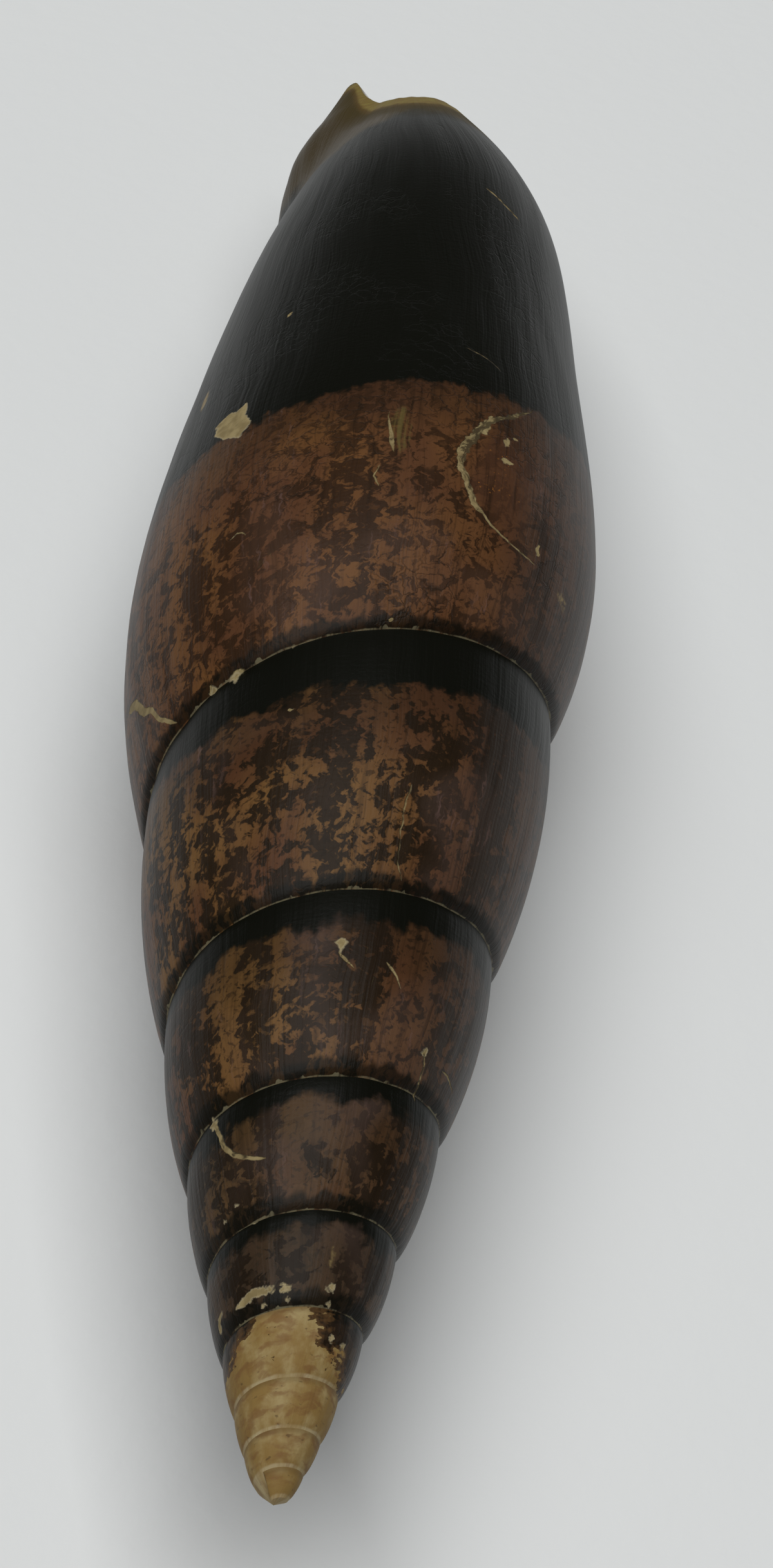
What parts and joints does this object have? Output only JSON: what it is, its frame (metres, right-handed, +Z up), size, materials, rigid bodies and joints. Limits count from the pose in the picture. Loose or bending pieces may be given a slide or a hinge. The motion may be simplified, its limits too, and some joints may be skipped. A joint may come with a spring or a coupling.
{
  "type": "miter shell",
  "caption": "Slender spindle-shaped snail shell with a tall stepped spire and a long narrow open aperture, resting on its aperture side.",
  "frame": {"origin": "centre of the bounding box's base, where the shell rests on its aperture side", "axes": "+Y along the shell's axis from the apex to the siphonal end, +Z up, +X to the outer lip's side"},
  "size_m": [0.019, 0.0822, 0.0179],
  "materials": {
    "periostracum": "satin"
  },
  "bodies": {
    "root": {"shell": "periostracum"}
  },
  "joints": []
}
